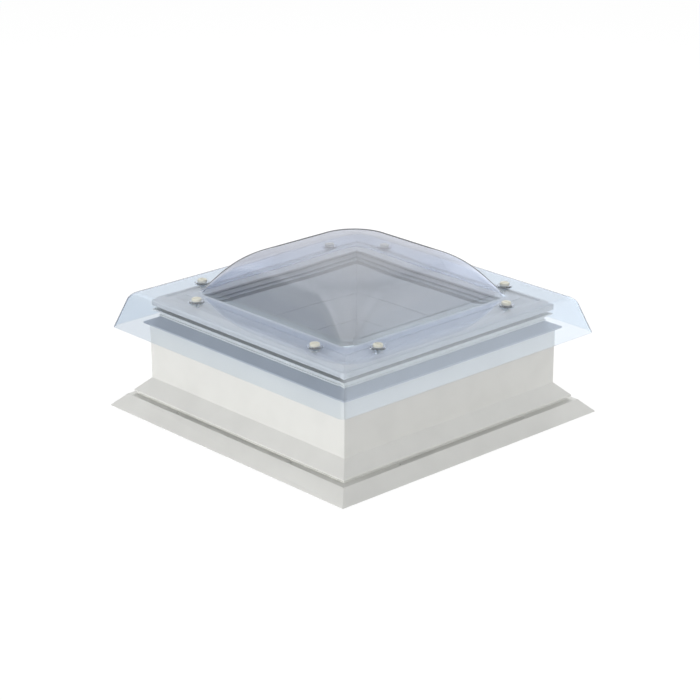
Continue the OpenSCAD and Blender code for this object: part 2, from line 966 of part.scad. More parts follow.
tube_bottom = tube_foot_h;
tube_top = opener_pivot_z + tube_above;
bush_h = 30;
bush_flange = 3;
cap_plug_h = 12;
cap_foot_h = 10;

module at_tube(z) {
    translate([0, opener_y, z])
        children();
}

module opener_tube() {
    color(anodised)
        at_tube(tube_bottom)
            difference() {
                cylinder(d = tube_d, h = tube_top - tube_bottom);
                translate([0, 0, -past])
                    cylinder(d = tube_d - 2 * tube_wall, h = tube_top - tube_bottom + 2 * past);
            }
}

module opener_collar() {
    color(dark_nylon)
        difference() {
            union() {
                at_tube(opener_pivot_z - collar_h / 2)
                    cylinder(d = collar_d, h = collar_h);
                at_pivot()
                    cylinder(d = trunnion_d, h = 2 * (arm_x + arm_t + past), center = true);
            }
            at_tube(opener_pivot_z - collar_h)
                cylinder(d = tube_d + 2 * running, h = 2 * collar_h);
        }
}

module opener_guide_bush() {
    color(dark_nylon)
        at_tube(tube_top)
            difference() {
                union() {
                    translate([0, 0, -bush_h])
                        cylinder(d = tube_d - 2 * tube_wall - 2 * running, h = bush_h);
                    cylinder(d = tube_d, h = bush_flange);
                }
                translate([0, 0, -bush_h - past])
                    cylinder(d = rod_d + 2 * running, h = bush_h + bush_flange + 2 * past);
            }
}

// Closes the tube's foot, with a gland for the lead
module opener_end_cap() {
    gland_d = 12;
    gland_h = 14;
    lead_d = 6;
    color(dark_nylon)
        at_tube(tube_bottom)
            difference() {
                union() {
                    cylinder(d = tube_d - 2 * tube_wall - 2 * running, h = cap_plug_h);
                    translate([0, 0, -cap_foot_h])
                        cylinder(d = tube_d, h = cap_foot_h);
                    translate([0, 0, -cap_foot_h - gland_h])
                        cylinder(d1 = gland_d - 2, d2 = gland_d, h = gland_h + past);
                }
                translate([0, 0, -cap_foot_h - gland_h - past])
                    cylinder(d = lead_d, h = gland_h + 2 * past);
            }
}

eye_r = eye_pin_d / 2 + eye_play + 3.6;
eye_w = rod_d + 6;
rod_top = eye_z - eye_r;
rod_bottom = tube_bottom + cap_plug_h + past;
rod_socket = 6;

module opener_rod() {
    color(steel)
        at_tube(rod_bottom)
            cylinder(d = rod_d, h = rod_top - rod_bottom);
}

module at_eye() {
    translate([0, opener_y, eye_z])
        rotate([0, 90, 0])
            children();
}

module opener_rod_eye() {
    color(steel)
        difference() {
            union() {
                at_eye()
                    cylinder(r = eye_r, h = eye_w, center = true);
                at_tube(rod_top - rod_socket)
                    cylinder(d = eye_w, h = rod_socket + eye_r / 2);
            }
            at_tube(rod_top - rod_socket - past)
                cylinder(d = rod_d + 2 * running, h = rod_socket + past);
            at_eye()
                cylinder(r = eye_pin_d / 2 + eye_play, h = 3 * eye_w, center = true);
        }
}

/* Bracket on the sash */

lug_x = eye_w / 2 + past;
lug_t = 4;
lug_r = eye_pin_d / 2 + 5;
sash_bracket_half_w = 32;
sash_bracket_cover = rebate_u - 2 * past;
sash_bracket_screw_x = 22;
lip_screw_depth = sash_lip_t - 0.5;

// Seats of the bracket's screws on the sash's underside
module at_sash_bracket_screws() {
    for (x = [-1, 1])
        translate([x * sash_bracket_screw_x, -opening_d / 2 - sash_bracket_cover / 2, sash_z])
            children();
}

module sash_bracket() {
    color(steel)
        difference() {
            union() {
                translate([-sash_bracket_half_w, -opening_d / 2 - sash_bracket_cover, sash_z - plate_t])
                    cube([2 * sash_bracket_half_w, sash_bracket_cover + opener_stand + lug_r, plate_t]);
                for (x0 = [lug_x, -lug_x - lug_t])
                    translate([x0, 0, 0]) {
                        at_eye()
                            cylinder(r = lug_r, h = lug_t);
                        translate([0, opener_y - lug_r, eye_z])
                            cube([lug_t, 2 * lug_r, eye_drop - fit]);
                    }
            }
            at_eye()
                cylinder(d = eye_pin_d + 2 * running, h = 4 * lug_x, center = true);
            at_sash_bracket_screws()
                cylinder(d = bracket_screw_d + 2 * fit, h = 4 * plate_t, center = true);
        }
}

module sash_bracket_screws() {
    color(steel)
        at_sash_bracket_screws()
            translate([0, 0, -plate_t])
                mirror([0, 0, 1])
                    pan_screw(bracket_screw_d, plate_t + lip_screw_depth - fit);
}

module opener_pin() {
    color(steel)
        at_eye()
            cylinder(d = eye_pin_d, h = 2 * (lug_x + lug_t + past), center = true);
}

kerb(FRONT);  // kerb_front
kerb(RIGHT);  // kerb_right
kerb(BACK);  // kerb_back
kerb(LEFT);  // kerb_left
drip_collar(FRONT);  // drip_collar_front
drip_collar(RIGHT);  // drip_collar_right
drip_collar(BACK);  // drip_collar_back
drip_collar(LEFT);  // drip_collar_left
weather_seal(outer_seal_u);  // outer_weather_seal
weather_seal(inner_seal_u);  // inner_weather_seal
sash(FRONT);  // sash_front
sash(RIGHT);  // sash_right
sash(BACK);  // sash_back
sash(LEFT);  // sash_left
glazing_bead(FRONT);  // glazing_bead_front
glazing_bead(RIGHT);  // glazing_bead_right
glazing_bead(BACK);  // glazing_bead_back
glazing_bead(LEFT);  // glazing_bead_left
pane(outer_pane_z);  // outer_pane
pane(inner_pane_z);  // inner_pane
spacer_bar();
edge_seal();
edge_blocks();
lower_gasket();
upper_gasket();
dome();
dome_spacers();
dome_washers();
dome_screws();
dome_caps();
hinge_kerb_leaf(-1);  // hinge_left_kerb_leaf
hinge_sash_leaf(-1);  // hinge_left_sash_leaf
hinge_pin(-1);  // hinge_left_pin
hinge_kerb_leaf(1);  // hinge_right_kerb_leaf
hinge_sash_leaf(1);  // hinge_right_sash_leaf
hinge_pin(1);  // hinge_right_pin
hinge_kerb_screws();
hinge_sash_screws();
opener_wall_bracket();
opener_bracket_screws();
opener_tube();
opener_collar();
opener_guide_bush();
opener_end_cap();
opener_rod();
opener_rod_eye();
sash_bracket();
sash_bracket_screws();
opener_pin();
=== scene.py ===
"""Looks of a flat-roof skylight: white PVC kerb, off-white sash, double glazing, clear blown dome.

Every piece is in metres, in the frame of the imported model. Run as a script.
"""
import math

import bmesh
import bpy
from mathutils import Matrix, Vector


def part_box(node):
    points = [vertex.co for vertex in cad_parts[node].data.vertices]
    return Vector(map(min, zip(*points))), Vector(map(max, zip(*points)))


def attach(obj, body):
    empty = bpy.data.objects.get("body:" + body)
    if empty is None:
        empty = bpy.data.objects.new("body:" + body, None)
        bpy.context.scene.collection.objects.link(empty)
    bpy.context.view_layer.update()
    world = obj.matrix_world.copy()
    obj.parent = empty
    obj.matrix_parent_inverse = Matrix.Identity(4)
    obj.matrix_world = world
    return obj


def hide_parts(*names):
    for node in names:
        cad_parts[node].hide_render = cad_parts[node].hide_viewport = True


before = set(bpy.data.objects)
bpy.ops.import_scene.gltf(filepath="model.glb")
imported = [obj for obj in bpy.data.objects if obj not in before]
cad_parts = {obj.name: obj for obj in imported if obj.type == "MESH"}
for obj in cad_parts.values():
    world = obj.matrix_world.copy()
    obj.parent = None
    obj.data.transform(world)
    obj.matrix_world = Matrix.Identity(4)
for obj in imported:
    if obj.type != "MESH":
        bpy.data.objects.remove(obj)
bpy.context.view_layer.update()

bl_info = {
    "name": "Flat-Roof Skylight",
    "version": (1, 0, 0),
    "blender": (4, 5, 0),
    "location": "View3D > Sidebar > Skylight",
    "description": "Finishes a flat-roof skylight with a clear dome, and lights it",
    "category": "Object",
}

MM = 0.001
SIDES = ("front", "right", "back", "left")
RUN_OF_SIDE = {"front": "x", "right": "y", "back": "x", "left": "y"}

DOME_LOW, DOME_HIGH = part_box("dome")
WASHER_LOW, WASHER_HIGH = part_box("dome_washers")
SPACER_LOW, SPACER_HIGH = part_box("dome_spacers")
CAP_LOW, CAP_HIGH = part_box("dome_caps")
SCREW_LOW, SCREW_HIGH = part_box("dome_screws")


# Settings

def linear(hex_colour):
    """Turn an sRGB hex colour into linear red, green and blue."""
    shares = [int(hex_colour[i:i + 2], 16) / 255 for i in (1, 3, 5)]
    return [s / 12.92 if s <= 0.04045 else ((s + 0.055) / 1.055) ** 2.4 for s in shares]


def colour(name, description, hex_colour):
    """Describe one colour that a user may change."""
    return bpy.props.FloatVectorProperty(
        name=name, description=description, subtype="COLOR", size=3,
        min=0.0, max=1.0, default=linear(hex_colour))


def length(name, description, metres):
    """Describe one size that a user may change."""
    return bpy.props.FloatProperty(
        name=name, description=description, default=metres, min=0.0,
        precision=5, subtype="DISTANCE", unit="LENGTH")


def point(name, description, place):
    """Describe one place that a user may change."""
    return bpy.props.FloatVectorProperty(
        name=name, description=description, size=3, default=place, subtype="XYZ_LENGTH", unit="LENGTH")


def power(name, description, watts):
    """Describe one lamp's power that a user may change."""
    return bpy.props.FloatProperty(
        name=name, description=description, default=watts, min=0.0, subtype="POWER", unit="POWER")


def strength(name, description, value):
    """Describe one strength of the surroundings that a user may change, where 1 is white."""
    return bpy.props.FloatProperty(name=name, description=description, default=value, min=0.0)


class SkylightFinishes(bpy.types.PropertyGroup):
    """Colours of the skylight's materials."""

    pvc_white: colour("White PVC", "Colour of the kerb", "#E9E9E5")
    pvc_sash: colour("Sash PVC", "Colour of the sash and its beads", "#D6D8D8")
    pvc_grey: colour("Grey PVC", "Colour of the drip collar", "#BEC3CA")
    rubber: colour("Rubber", "Colour of the weather seals", "#26292B")
    gasket: colour("Gasket", "Colour of the glazing gaskets", "#C3C6C8")
    acrylic: colour("Acrylic", "Tint of the dome's rim and skirt", "#F8FDFF")
    acrylic_blown: colour("Blown acrylic", "Tint of the dome's bulge", "#EBEBEE")
    acrylic_depth: colour("Acrylic depth", "Colour that the depth of the sheet takes on", "#3A90E4")
    lacquer: colour("Lacquer", "Lacquer of the glass unit's spacer bar", "#F1F2F2")
    washer: colour("Washer", "Tint of the clear washers and sleeves", "#F2F5F8")
    glass: colour("Glass", "Tint of the float glass", "#F3F7FA")
    nylon_cream: colour("Cream nylon", "Colour of the fixing caps", "#ECEADC")
    nylon_dark: colour("Dark nylon", "Colour of the edge blocks and the opener's mouldings", "#3A3D40")
    steel: colour("Stainless steel", "Colour of hinges, brackets and screws", "#C9CBCC")
    aluminium: colour("Aluminium", "Colour of the opener's tube", "#C2C5C8")


class SkylightDome(bpy.types.PropertyGroup):
    """Sizes of the blown dome and of what fixes it."""

    sheet: length("Sheet", "Thickness of the acrylic sheet", 3 * MM)
    rim_top: length("Rim level", "Height of the flat rim's upper face", WASHER_LOW.z)
    rim_half: length("Rim", "Half width to where the rim bends down", 440 * MM)
    rim_corner: length("Rim corner", "Corner radius of the rim", 16 * MM)
    rim_bend: length("Rim bend", "Radius of the bend into the skirt", 35 * MM)
    hem_half: length("Hem", "Half width at the skirt's lower edge", DOME_HIGH.x)
    hem_level: length("Hem level", "Height of the skirt's lower edge", DOME_LOW.z)
    hem_corner: length("Hem corner", "Corner radius of the hem", 20 * MM)
    bulge_half: length("Bulge", "Half width of the bulge at its foot", 320 * MM)
    bulge_rise: length("Bulge rise", "Height of the bulge over the rim", DOME_HIGH.z - WASHER_LOW.z)
    bulge_fillet: length("Bulge fillet", "Radius between the rim and the bulge", 16 * MM)
    fixing_along: length("Fixing place", "Distance of each fixing from mid-side", 255 * MM)
    fixing_out: length("Fixing reach", "Distance of each fixing from the middle", 377 * MM)
    screw_hole: length("Screw hole", "Radius of the screw holes in the sheet", 3 * MM)
    thread_pitch: length("Thread pitch", "Pitch of the dome screws", 1.8 * MM)
    cap_slot: length("Cap slot", "Width of the slot in each cap", 3 * MM)


class SkylightEdges(bpy.types.PropertyGroup):
    """How far the edges of the CAD pieces are rounded."""

    pvc: length("PVC edges", "Rounding of extruded PVC edges", 0.7 * MM)
    metal: length("Metal edges", "Rounding of metal edges", 0.25 * MM)
    moulding: length("Moulded edges", "Rounding of moulded nylon edges", 0.5 * MM)
    glass: length("Glass edges", "Ground arris along the panes", 0.4 * MM)


class SkylightStage(bpy.types.PropertyGroup):
    """Camera, lamps and surroundings."""

    camera: point("Camera", "Place of the camera", (-4.182, -4.483, 2.474))
    target: point("Target", "Point that the camera looks at", (0.0, 0.0, 0.1785))
    lens: bpy.props.FloatProperty(
        name="Lens", description="Focal length in millimetres on a 36 mm sensor",
        default=114.13, min=1.0)
    shift: bpy.props.FloatVectorProperty(
        name="Shift", description="Shift of the frame, as a share of its width", size=2,
        default=(-0.00296, 0.00314))
    key: power("Key", "Power of the low lamp at the left, in watts", 78.0)
    fill: power("Fill", "Power of the wide lamp in front, in watts", 37.0)
    back: power("Back", "Power of the soft lamp behind at the right, in watts", 100.0)
    well: power("Well", "Power of the light that comes up the well, in watts", 0.6)
    horizon: strength("Horizon", "Strength of the white wall all round", 1.0)
    ceiling: strength("Ceiling", "Strength of the dimmer ceiling", 0.36)
    through: strength("Through sheets", "Strength of the white that is seen through clear sheets", 0.87)
    mirror_floor: strength("Mirrored floor", "Strength of the far floor in reflections", 0.2)
    mirror_strength: strength("Mirrored room", "Strength of the room that polished sheets mirror", 4.0)


# Materials

def add(tree, kind, inputs=None, stops=(), **settings):
    """Add one node, give it its settings and colour stops, and set or link its inputs."""
    node = tree.nodes.new(kind)
    for name, value in settings.items():
        setattr(node, name, value)
    for name, value in (inputs or {}).items():
        if isinstance(value, bpy.types.NodeSocket):
            tree.links.new(value, node.inputs[name])
        else:
            node.inputs[name].default_value = value
    for number, (place, rgb) in enumerate(stops):
        marks = node.color_ramp.elements
        mark = marks[number] if number < len(marks) else marks.new(place)
        mark.position = place
        mark.color = opaque(rgb)
    return node


def opaque(rgb):
    """Give a colour the alpha that a socket asks for."""
    return (*rgb, 1.0)


def start_material(name):
    """Start a material with no nodes."""
    material = bpy.data.materials.new(name)
    material.use_nodes = True
    material.node_tree.nodes.clear()
    return material, material.node_tree


def extruded_pvc(name, rgb, run):
    """Extruded PVC-U.

    A satin skin from the calibrating die, with faint die lines along the run and a slow
    change of gloss where the profile cooled.
    """
    material, tree = start_material(name)
    place = add(tree, "ShaderNodeTexCoord").outputs["Object"]
    # Die lines are about 0.2 mm apart; they are drawn 4 mm apart so that they show.
    line_gap = 4 * MM
    stretch = 0.004
    along = add(tree, "ShaderNodeMapping",
                {"Vector": place, "Scale": (stretch, 1, 1) if run == "x" else (1, stretch, 1)})
    lines = add(tree, "ShaderNodeTexNoise",
                {"Vector": along.outputs["Vector"], "Scale": 1 / line_gap, "Detail": 3.0})
    bump = add(tree, "ShaderNodeBump",
               {"Height": lines.outputs["Fac"], "Strength": 0.05, "Distance": 0.1 * MM})
    # Cooling marks are hand-sized.
    mark_size = 90 * MM
    clouds = add(tree, "ShaderNodeTexNoise", {"Vector": place, "Scale": 1 / mark_size, "Detail": 2.0})
    tint = add(tree, "ShaderNodeValToRGB", {"Fac": clouds.outputs["Fac"]},
               stops=((0.3, [c * 0.965 for c in rgb]), (0.6, rgb)))
    gloss = add(tree, "ShaderNodeMapRange",
                {"Value": clouds.outputs["Fac"], "To Min": 0.34, "To Max": 0.46})
    shader = add(tree, "ShaderNodeBsdfPrincipled",
                 {"Base Color": tint.outputs["Color"], "Roughness": gloss.outputs["Result"],
                  "Normal": bump.outputs["Normal"], "Specular IOR Level": 0.25, "IOR": 1.53})
    add(tree, "ShaderNodeOutputMaterial", {"Surface": shader.outputs["BSDF"]})
    return material


def moulded_rubber(name, rgb):
    """Extruded rubber: dull, with a fine talc bloom."""
    material, tree = start_material(name)
    place = add(tree, "ShaderNodeTexCoord").outputs["Object"]
    # The bloom's specks are under 0.1 mm; they are drawn at 0.8 mm so that they show.
    speck = 0.8 * MM
    bloom = add(tree, "ShaderNodeTexNoise", {"Vector": place, "Scale": 1 / speck, "Detail": 2.0})
    tint = add(tree, "ShaderNodeValToRGB", {"Fac": bloom.outputs["Fac"]},
               stops=((0.0, rgb), (1.0, [c + 0.01 for c in rgb])))
    rough = add(tree, "ShaderNodeMapRange",
                {"Value": bloom.outputs["Fac"], "To Min": 0.6, "To Max": 0.8})
    bump = add(tree, "ShaderNodeBump",
               {"Height": bloom.outputs["Fac"], "Strength": 0.2, "Distance": 0.1 * MM})
    shader = add(tree, "ShaderNodeBsdfPrincipled",
                 {"Base Color": tint.outputs["Color"], "Roughness": rough.outputs["Result"],
                  "Normal": bump.outputs["Normal"], "IOR": 1.5})
    add(tree, "ShaderNodeOutputMaterial", {"Surface": shader.outputs["BSDF"]})
    return material


def clear_sheet(name, rgb, ior, clarity, lamp_share):
    """Cast acrylic, polycarbonate or float glass: polished, with a slight tint and haze.

    Lamps and scattered light pass straight through it, as they do through a thin sheet.
    """
    material, tree = start_material(name)
    shader = add(tree, "ShaderNodeBsdfPrincipled",
                 {"Base Color": opaque(rgb), "Roughness": 0.0, "IOR": ior,
                  "Transmission Weight": clarity})
    straight = add(tree, "ShaderNodeBsdfTransparent", {"Color": opaque([lamp_share] * 3)})
    ray = add(tree, "ShaderNodeLightPath")
    passing = add(tree, "ShaderNodeMath",
                  {0: ray.outputs["Is Shadow Ray"], 1: ray.outputs["Is Diffuse Ray"]},
                  operation="MAXIMUM")
    surface = add(tree, "ShaderNodeMixShader",
                  {0: passing.outputs[0], 1: shader.outputs["BSDF"], 2: straight.outputs["BSDF"]})
    add(tree, "ShaderNodeOutputMaterial", {"Surface": surface.outputs["Shader"]})
    return material


def blown_acrylic(name, rgb, blown_rgb, depth_rgb):
    """Blue-tinted cast acrylic: clear face on, deeper blue-grey where the sheet is seen along.

    The blown part is stretched and a little hazier, so its tint turns to grey.
    """
    material = clear_sheet(name, rgb, ior=1.49, clarity=0.97, lamp_share=0.94)
    tree = material.node_tree
    place = add(tree, "ShaderNodeTexCoord").outputs["Object"]
    height = add(tree, "ShaderNodeSeparateXYZ", {"Vector": place}).outputs["Z"]
    rim = bpy.context.scene.skylight_dome.rim_top
    fade = 20 * MM
    blown = add(tree, "ShaderNodeMapRange", {"Value": height, "From Min": rim, "From Max": rim + fade})
    tint = add(tree, "ShaderNodeValToRGB", {"Fac": blown.outputs["Result"]},
               stops=((0.0, rgb), (1.0, blown_rgb)))
    shader = next(n for n in tree.nodes if n.bl_idname == "ShaderNodeBsdfPrincipled")
    tree.links.new(tint.outputs["Color"], shader.inputs["Base Color"])
    # Face on, 3 mm of sheet takes away about 7% of the red light and 2% of the blue.
    depth = add(tree, "ShaderNodeVolumeAbsorption", {"Color": opaque(depth_rgb), "Density": 26.0})
    output = next(n for n in tree.nodes if n.bl_idname == "ShaderNodeOutputMaterial")
    tree.links.new(depth.outputs["Volume"], output.inputs["Volume"])
    return material


def moulded_nylon(name, rgb, grain):
    """Injection-moulded nylon: a satin skin with the fine grain of an eroded mould."""
    material, tree = start_material(name)
    place = add(tree, "ShaderNodeTexCoord").outputs["Object"]
    specks = add(tree, "ShaderNodeTexNoise", {"Vector": place, "Scale": 1 / grain, "Detail": 2.0})
    tint = add(tree, "ShaderNodeValToRGB", {"Fac": specks.outputs["Fac"]},
               stops=((0.0, [c * 0.93 for c in rgb]), (1.0, rgb)))
    rough = add(tree, "ShaderNodeMapRange",
                {"Value": specks.outputs["Fac"], "To Min": 0.35, "To Max": 0.5})
    bump = add(tree, "ShaderNodeBump",
               {"Height": specks.outputs["Fac"], "Strength": 0.15, "Distance": 0.1 * MM})
    shader = add(tree, "ShaderNodeBsdfPrincipled",
                 {"Base Color": tint.outputs["Color"], "Roughness": rough.outputs["Result"],
                  "Normal": bump.outputs["Normal"], "IOR": 1.53})
    add(tree, "ShaderNodeOutputMaterial", {"Surface": shader.outputs["BSDF"]})
    return material


def brushed_metal(name, rgb, run, smoothest, roughest, bare=1.0):
    """Brushed stainless steel or satin aluminium: fine scratches along one way.

    A lacquer over the metal hides part of its mirror, and leaves it paler and duller.
    """
    material, tree = start_material(name)
    place = add(tree, "ShaderNodeTexCoord").outputs["Object"]
    # Brush scratches are about 0.05 mm wide; they are drawn 0.5 mm wide so that they show.
    scratch = 0.5 * MM
    stretch = 0.02
    along = add(tree, "ShaderNodeMapping",
                {"Vector": place, "Scale": (stretch, 1, 1) if run == "x" else (1, 1, stretch)})
    lines = add(tree, "ShaderNodeTexNoise",
                {"Vector": along.outputs["Vector"], "Scale": 1 / scratch, "Detail": 3.0})
    tint = add(tree, "ShaderNodeValToRGB", {"Fac": lines.outputs["Fac"]},
               stops=((0.0, [c * 0.88 for c in rgb]), (1.0, rgb)))
    rough = add(tree, "ShaderNodeMapRange",
                {"Value": lines.outputs["Fac"], "To Min": smoothest, "To Max": roughest})
    bump = add(tree, "ShaderNodeBump",
               {"Height": lines.outputs["Fac"], "Strength": 0.1, "Distance": 0.05 * MM})
    shader = add(tree, "ShaderNodeBsdfPrincipled",
                 {"Base Color": tint.outputs["Color"], "Roughness": rough.outputs["Result"],
                  "Normal": bump.outputs["Normal"], "Metallic": bare})
    add(tree, "ShaderNodeOutputMaterial", {"Surface": shader.outputs["BSDF"]})
    return material


def finish(name, settings):
    """Return the named finish, made once."""
    if name in bpy.data.materials:
        return bpy.data.materials[name]
    # The panes and washers have a lower IOR than the real ones, so that they mirror less and what is
    # behind them shows as it does in the photo.
    makers = {
        "white_pvc_along_x": lambda: extruded_pvc(name, settings.pvc_white, "x"),
        "white_pvc_along_y": lambda: extruded_pvc(name, settings.pvc_white, "y"),
        "off_white_pvc_along_x": lambda: extruded_pvc(name, settings.pvc_sash, "x"),
        "off_white_pvc_along_y": lambda: extruded_pvc(name, settings.pvc_sash, "y"),
        "grey_pvc_along_x": lambda: extruded_pvc(name, settings.pvc_grey, "x"),
        "grey_pvc_along_y": lambda: extruded_pvc(name, settings.pvc_grey, "y"),
        "epdm_rubber": lambda: moulded_rubber(name, settings.rubber),
        "grey_gasket_rubber": lambda: moulded_rubber(name, settings.gasket),
        "blown_cast_acrylic": lambda: blown_acrylic(
            name, settings.acrylic, settings.acrylic_blown, settings.acrylic_depth),
        "clear_polycarbonate": lambda: clear_sheet(
            name, settings.washer, ior=1.3, clarity=0.9, lamp_share=0.9),
        "float_glass_pane": lambda: clear_sheet(
            name, settings.glass, ior=1.12, clarity=1.0, lamp_share=0.83),
        "cream_moulded_nylon": lambda: moulded_nylon(name, settings.nylon_cream, 1.5 * MM),
        "dark_moulded_nylon": lambda: moulded_nylon(name, settings.nylon_dark, 1 * MM),
        "lacquered_aluminium": lambda: brushed_metal(name, settings.lacquer, "x", 0.45, 0.6, bare=0.2),
        "brushed_stainless_steel": lambda: brushed_metal(name, settings.steel, "x", 0.25, 0.4),
        "polished_stainless_rod": lambda: brushed_metal(name, settings.steel, "z", 0.1, 0.2),
        "satin_anodised_aluminium": lambda: brushed_metal(name, settings.aluminium, "z", 0.3, 0.42),
    }
    return makers[name]()


# Meshes

def dress(node, material):
    """Give a CAD piece its finish."""
    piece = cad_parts[node]
    piece.data.materials.clear()
    piece.data.materials.append(material)
    return piece


def round_edges(piece, width, segments=2):
    """Round a CAD piece's edges, as extrusion, moulding or tumbling leaves them."""
    weld = piece.modifiers.new("Weld", "WELD")
    weld.merge_threshold = 0.005 * MM
    bevel = piece.modifiers.new("Edges", "BEVEL")
    bevel.width = width
    bevel.segments = segments
    bevel.limit_method = "ANGLE"
    bevel.angle_limit = math.radians(35)
    bevel.harden_normals = True


def dress_lengths(stem, pvc, scene):
    """Finish the four mitred lengths of one profile, with the die lines along each."""
    for side in SIDES:
        material = finish(pvc + "_along_" + RUN_OF_SIDE[side], scene.skylight_finishes)
        round_edges(dress(stem + side, material), scene.skylight_edges.pvc)


def loft(name, rings, loop=False):
    """Make a closed mesh through rings of points, ends closed, or joined where loop is set."""
    count = len(rings[0])
    points = [p for ring in rings for p in ring]
    faces = []
    pairs = [(i, i + 1) for i in range(len(rings) - 1)]
    if loop:
        pairs.append((len(rings) - 1, 0))
    for a, b in pairs:
        for k in range(count):
            n = (k + 1) % count
            faces.append((a * count + k, a * count + n, b * count + n, b * count + k))
    if not loop:
        for start, turn in ((0, -1), ((len(rings) - 1) * count, 1)):
            middle = sum((Vector(p) for p in points[start:start + count]), Vector()) / count
            points.append(middle)
            for k in range(count):
                pair = (start + k, start + (k + 1) % count)
                faces.append((len(points) - 1, *pair[::turn]))
    mesh = bpy.data.meshes.new(name)
    mesh.from_pydata([tuple(p) for p in points], [], faces)
    shell = bmesh.new()
    shell.from_mesh(mesh)
    bmesh.ops.recalc_face_normals(shell, faces=shell.faces)
    shell.to_mesh(mesh)
    shell.free()
    mesh.shade_smooth()
    return mesh


def lathe(name, profile, steps=48, loop=False):
    """Turn a profile of (radius, height) round Z."""
    turns = [2 * math.pi * k / steps for k in range(steps)]
    return loft(name, [[(r * math.cos(a), r * math.sin(a), z) for a in turns] for r, z in profile], loop)


def rolled_edge(reach, top, radius, steps=6):
    """List the points of a quarter bend in a profile, from its outside up to its top."""
    turns = [math.pi / 2 * k / steps for k in range(steps + 1)]
    return [(reach - radius + radius * math.cos(a), top - radius + radius * math.sin(a)) for a in turns]


def placed_copies(name, mesh, places):
    """Join copies of a mesh, one at each place, into one piece."""
    joined = bmesh.new()
    for place in places:
        copy = mesh.copy()
        copy.transform(place)
        joined.from_mesh(copy)
        bpy.data.meshes.remove(copy)
    result = bpy.data.meshes.new(name)
    joined.to_mesh(result)
    joined.free()
    return result


def new_piece(name, mesh, material, body, slot, *nodes):
    """Put a mesh into the scene as a piece that stands for CAD nodes."""
    mesh.name = name
    mesh.materials.clear()
    mesh.materials.append(material)
    piece = bpy.data.objects.new(name, mesh)
    bpy.context.scene.collection.objects.link(piece)
    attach(piece, body)
    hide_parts(*nodes)
    return piece


def cut(mesh, tool):
    """Take one mesh out of another."""
    body = bpy.data.objects.new("cut_body", mesh)
    cutter = bpy.data.objects.new("cut_tool", tool)
    for item in (body, cutter):
        bpy.context.scene.collection.objects.link(item)
    change = body.modifiers.new("Cut", "BOOLEAN")
    change.operation = "DIFFERENCE"
    change.solver = "EXACT"
    change.object = cutter
    bpy.context.view_layer.update()
    changed = body.evaluated_get(bpy.context.evaluated_depsgraph_get())
    result = bpy.data.meshes.new_from_object(changed)
    for item in (body, cutter):
        bpy.data.objects.remove(item)
    return result


def smooth_by_angle(mesh, degrees):
    """Shade a mesh smooth, with edges sharper than an angle left sharp."""
    mesh.shade_smooth()
    mesh.set_sharp_from_angle(angle=math.radians(degrees))


def fixing_places(dome):
    """List the places of the dome's fixings on the rim, turned with their sides."""
    places = []
    for side in range(4):
        turn = Matrix.Rotation(side * math.pi / 2, 4, "Z")
        for hand in (-1, 1):
            places.append(turn @ Matrix.Translation((hand * dome.fixing_along, -dome.fixing_out, 0)))
    return places


# The dome

CORNER_STEPS = 20
BULGE_STEPS = 44
FILLET_STEPS = 12
BEND_STEPS = 14
HEM_STEPS = 8
HALVINGS = 60
# Points along a straight side, and stations across the rim and down the skirt, crowded at the bends
SIDE_SHARES = (0.015, 0.1, 0.3, 0.5, 0.7, 0.9, 0.985)
RIM_SHARES = (0.02, 0.5, 0.98, 1.0)
SKIRT_SHARES = (0.03, 0.35, 0.7, 0.97, 1.0)
SMALLEST_CORNER = 0.5 * MM
# The bulge's half width takes a share of its foot, and its rise follows from that share.
CROWN_POWER = 5.4
WALL_POWER = 0.64
# The plan corners take a share of the half width, which grows on the way up.
CORNER_CROWN = 0.54
CORNER_POWER = 0.62


def rounded_square(half, corner, level):
    """List one ring of the dome: a square with round corners, and points along its sides."""
    flat = half - corner
    arcs = []
    for quarter in range(4):
        first = math.pi / 2 * quarter
        across = flat if quarter in (0, 3) else -flat
        along = flat if quarter in (0, 1) else -flat
        centre = Vector((across, along, level))
        turns = [first + math.pi / 2 * k / CORNER_STEPS for k in range(CORNER_STEPS + 1)]
        arcs.append([centre + Vector((corner * math.cos(a), corner * math.sin(a), 0)) for a in turns])
    ring = []
    for quarter in range(4):
        ring += arcs[quarter]
        start = arcs[quarter][-1]
        end = arcs[(quarter + 1) % 4][0]
        ring += [start.lerp(end, share) for share in SIDE_SHARES]
    return ring


def bulge_share(rise):
    """Return the share of the foot's half width at which the bulge has a rise from 0 to 1."""
    return (1 - rise ** (1 / WALL_POWER)) ** (1 / CROWN_POWER)


def bulge_slope(dome, share):
    """Return the slope of the bulge's mid-side line at a share of its half width."""
    steepness = WALL_POWER * CROWN_POWER * share ** (CROWN_POWER - 1)
    steepness *= (1 - share ** CROWN_POWER) ** (WALL_POWER - 1)
    return math.atan(dome.bulge_rise / dome.bulge_half * steepness)


